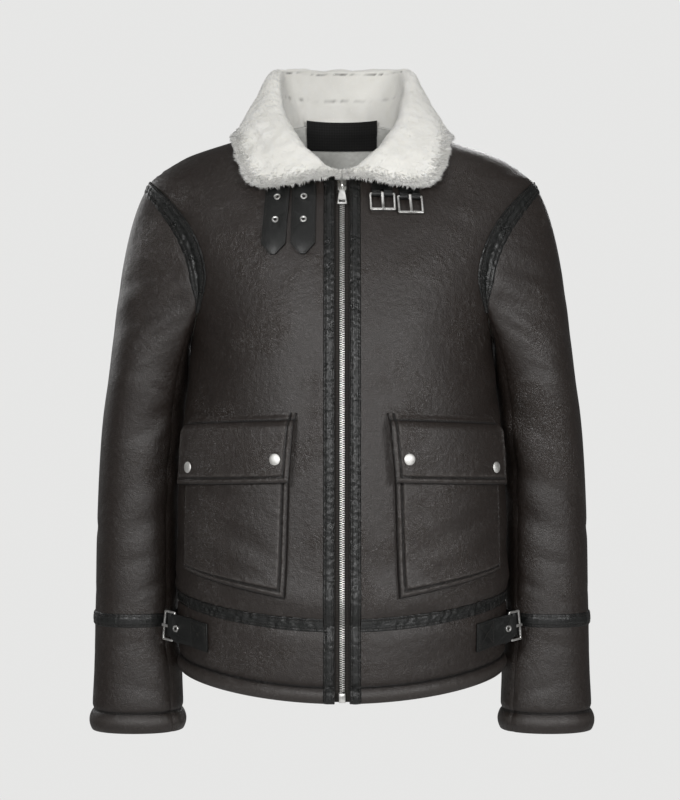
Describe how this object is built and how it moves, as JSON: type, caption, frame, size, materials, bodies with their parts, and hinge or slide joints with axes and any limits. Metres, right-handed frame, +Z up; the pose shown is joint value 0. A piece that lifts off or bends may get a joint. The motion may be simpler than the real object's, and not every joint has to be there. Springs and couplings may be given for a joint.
{
  "type": "shearling jacket",
  "caption": "Hip-length shearling jacket, filled out as worn, with a fleece collar, a front zip, flap pockets, collar straps and buckles, and buckled side tabs.",
  "frame": {"origin": "the middle of the neck and shoulders, where the wearer holds the jacket up", "axes": "+Z up, the jacket's front towards -Y, the wearer's left arm towards +X"},
  "size_m": [0.6186, 0.2991, 0.8218],
  "materials": {
    "hide": "matte, finely pebbled, dark brown",
    "trim": "smooth, slightly shiny, black",
    "fleece": "short plush fleece, ivory",
    "label": "woven, black",
    "tape": "woven, dark",
    "nickel": "bright nickel"
  },
  "bodies": {
    "jacket": {"front_right": "hide", "front_left": "hide", "back": "hide", "hem_right": "hide", "hem_left": "hide", "hem_back": "hide", "top_sleeve_right": "hide", "top_sleeve_left": "hide", "under_sleeve_right": "hide", "under_sleeve_left": "hide", "pocket_right": "hide", "pocket_left": "hide", "pocket_flap_right": "hide", "pocket_flap_left": "hide", "sleeve_band_right": "trim", "sleeve_band_left": "trim", "armhole_trim_right": "trim", "armhole_trim_left": "trim", "waist_trim_right": "trim", "waist_trim_left": "trim", "waist_trim_back": "trim", "zip_trim_right": "trim", "zip_trim_left": "trim", "collar_strap_outer": "trim", "collar_strap_inner": "trim", "buckle_loop_inner": "trim", "buckle_loop_outer": "trim", "side_tab_right": "trim", "side_tab_left": "trim", "side_strap_right": "trim", "side_strap_left": "trim", "collar": "fleece", "neck_label": "label", "zip_tape_right": "tape", "zip_tape_left": "tape", "zip_chain": "nickel", "zip_slider": "nickel", "zip_box": "nickel", "eyelet_outer_upper": "nickel", "eyelet_outer_lower": "nickel", "eyelet_inner_upper": "nickel", "eyelet_inner_lower": "nickel", "side_eyelet_right": "nickel", "side_eyelet_left": "nickel", "side_buckle_right": "nickel", "side_buckle_left": "nickel", "side_prong_right": "nickel", "side_prong_left": "nickel", "snap_inner_right": "nickel", "snap_inner_left": "nickel", "snap_outer_right": "nickel", "snap_outer_left": "nickel"},
    "zip_pull": {"zip_pull": "nickel"},
    "buckle_inner": {"buckle_inner": "nickel"},
    "prong_inner": {"buckle_prong_inner": "nickel"},
    "buckle_outer": {"buckle_outer": "nickel"},
    "prong_outer": {"buckle_prong_outer": "nickel"}
  },
  "joints": [
    {"name": "zip_pull_swing", "type": "hinge", "parent": "jacket", "child": "zip_pull", "pos_m": [0, -0.09057, -0.0605], "axis": [-1, 0, 0], "range_deg": [0, 95]},
    {"name": "buckle_inner_swing", "type": "hinge", "parent": "jacket", "child": "buckle_inner", "pos_m": [0.04656, -0.09566, -0.07165], "axis": [-0.9971, -0.0767, 0], "range_deg": [0, 80]},
    {"name": "prong_inner_swing", "type": "hinge", "parent": "buckle_inner", "child": "prong_inner", "pos_m": [0.04656, -0.09566, -0.07165], "axis": [-0.9971, -0.0767, 0], "range_deg": [0, 35]},
    {"name": "buckle_outer_swing", "type": "hinge", "parent": "jacket", "child": "buckle_outer", "pos_m": [0.07868, -0.09378, -0.07474], "axis": [-0.9903, -0.1391, 0], "range_deg": [0, 80]},
    {"name": "prong_outer_swing", "type": "hinge", "parent": "buckle_outer", "child": "prong_outer", "pos_m": [0.07868, -0.09378, -0.07474], "axis": [-0.9903, -0.1391, 0], "range_deg": [0, 35]}
  ]
}
